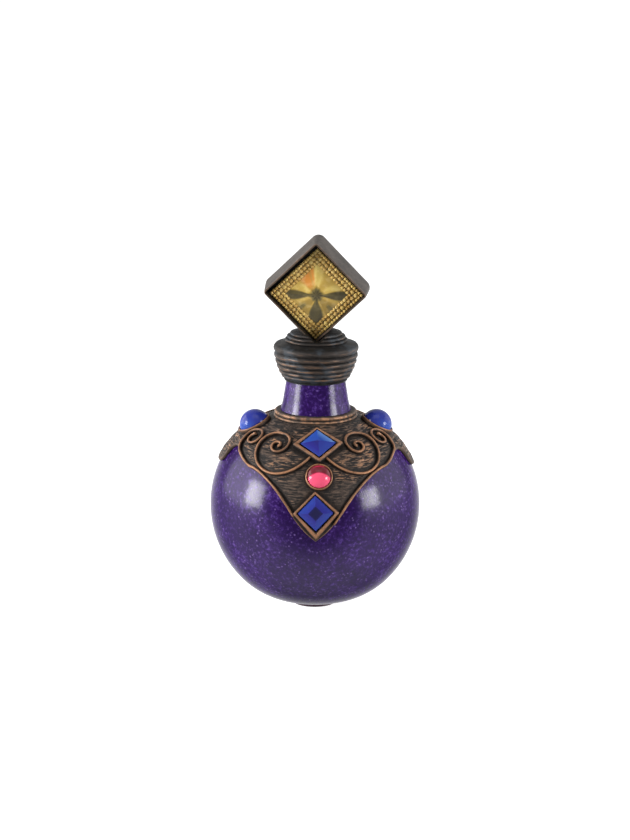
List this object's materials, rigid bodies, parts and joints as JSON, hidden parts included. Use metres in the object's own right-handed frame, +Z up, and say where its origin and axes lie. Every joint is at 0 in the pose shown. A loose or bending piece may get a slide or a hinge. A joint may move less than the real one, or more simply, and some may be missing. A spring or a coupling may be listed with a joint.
{
  "type": "potion bottle",
  "caption": "Round decorative flask with a pointed scrollwork collar, set stones and a lift-out ribbed stopper that carries a framed square jewel.",
  "frame": {"origin": "middle of the foot's underside, on the surface that the bottle stands on", "axes": "+Z up through the neck, -Y towards the front with the stones, +X to the viewer's right"},
  "size_m": [0.08, 0.0861, 0.1421],
  "materials": {
    "violet_glaze": "gloss, violet with lilac flecks",
    "felt": "matt, dark",
    "bronze": "dark bronze paint with copper rubbed on the relief",
    "copper": "rubbed copper paint",
    "blue_stone": "clear deep blue, polished, backed",
    "red_stone": "clear pink red, polished, backed",
    "bronze_stopper": "dark bronze paint with slate and copper on the ribs",
    "cork": "natural cork",
    "bronze_setting": "dark metallic bronze paint, copper on the edges",
    "citrine_stone": "foil-backed gold yellow, faceted"
  },
  "bodies": {
    "bottle": {"bottle": "violet_glaze", "foot_pad": "felt", "collar": "bronze", "rim_cord_front_left": "copper", "rim_cord_front_right": "copper", "rim_cord_back_left": "copper", "rim_cord_back_right": "copper", "scroll_front_left": "copper", "scroll_front_right": "copper", "scroll_back_left": "copper", "scroll_back_right": "copper", "bezel_upper": "copper", "bezel_round": "copper", "bezel_lower": "copper", "bezel_side_left": "copper", "bezel_side_right": "copper", "gem_upper": "blue_stone", "gem_round": "red_stone", "gem_lower": "blue_stone", "gem_side_left": "blue_stone", "gem_side_right": "blue_stone"},
    "stopper": {"stopper_cap": "bronze_stopper", "stopper_cork": "cork", "jewel_setting": "bronze_setting", "crown_jewel": "citrine_stone"}
  },
  "joints": [
    {"name": "stopper_lift", "type": "slide", "parent": "bottle", "child": "stopper", "axis": [0, 0, 1], "range_m": [0, 0.045]}
  ]
}
